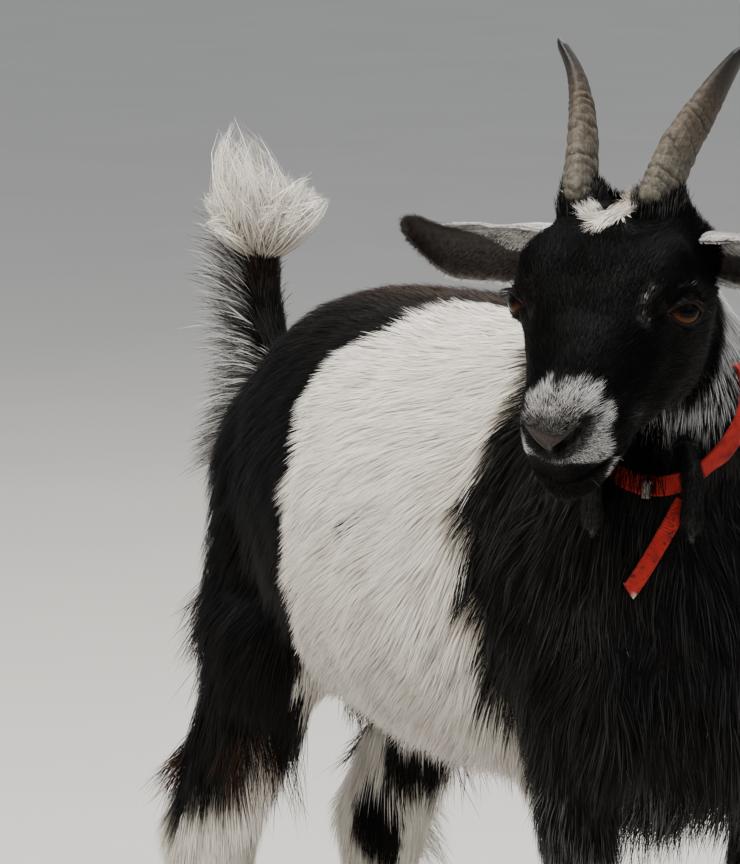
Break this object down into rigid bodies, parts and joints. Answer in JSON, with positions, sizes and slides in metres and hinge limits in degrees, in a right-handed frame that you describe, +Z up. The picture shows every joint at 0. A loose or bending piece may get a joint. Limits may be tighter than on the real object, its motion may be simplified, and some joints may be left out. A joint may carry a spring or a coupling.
{
  "type": "goat",
  "caption": "Life-size still model of a small horned goat standing with its head turned to its right, black with a broad pale belt, wearing a plain webbing collar.",
  "frame": {"origin": "on the floor, below the middle of the model's bounding box", "axes": "+X the way the trunk faces, +Y to the goat's left, +Z up"},
  "size_m": [0.6957, 0.3355, 0.708],
  "materials": {
    "coat": "hair over skin, black with a creamy white belt, stockings and tail tip, frosted grey on the muzzle and ears",
    "horn": "ridged grey-brown keratin",
    "hoof": "dull dark grey keratin",
    "eye": "wet, amber-brown with a level slot pupil",
    "webbing": "woven red nylon webbing, a little faded",
    "buckle_metal": "dull, worn"
  },
  "bodies": {
    "root": {"collar_buckle": "buckle_metal", "collar_ring": "webbing", "collar_tongue": "webbing", "dewclaw_fore_left_inner": "hoof", "dewclaw_fore_left_outer": "hoof", "dewclaw_fore_right_inner": "hoof", "dewclaw_fore_right_outer": "hoof", "dewclaw_hind_left_inner": "hoof", "dewclaw_hind_left_outer": "hoof", "dewclaw_hind_right_inner": "hoof", "dewclaw_hind_right_outer": "hoof", "ear_left": "coat", "ear_right": "coat", "eye_left": "eye", "eye_right": "eye", "foreleg_left": "coat", "foreleg_right": "coat", "head": "coat", "hindleg_left": "coat", "hindleg_right": "coat", "hoof_fore_left_inner": "hoof", "hoof_fore_left_outer": "hoof", "hoof_fore_right_inner": "hoof", "hoof_fore_right_outer": "hoof", "hoof_hind_left_inner": "hoof", "hoof_hind_left_outer": "hoof", "hoof_hind_right_inner": "hoof", "hoof_hind_right_outer": "hoof", "horn_left": "horn", "horn_right": "horn", "neck": "coat", "tail": "coat", "trunk": "coat", "wattle_left": "coat", "wattle_right": "coat"}
  },
  "joints": []
}
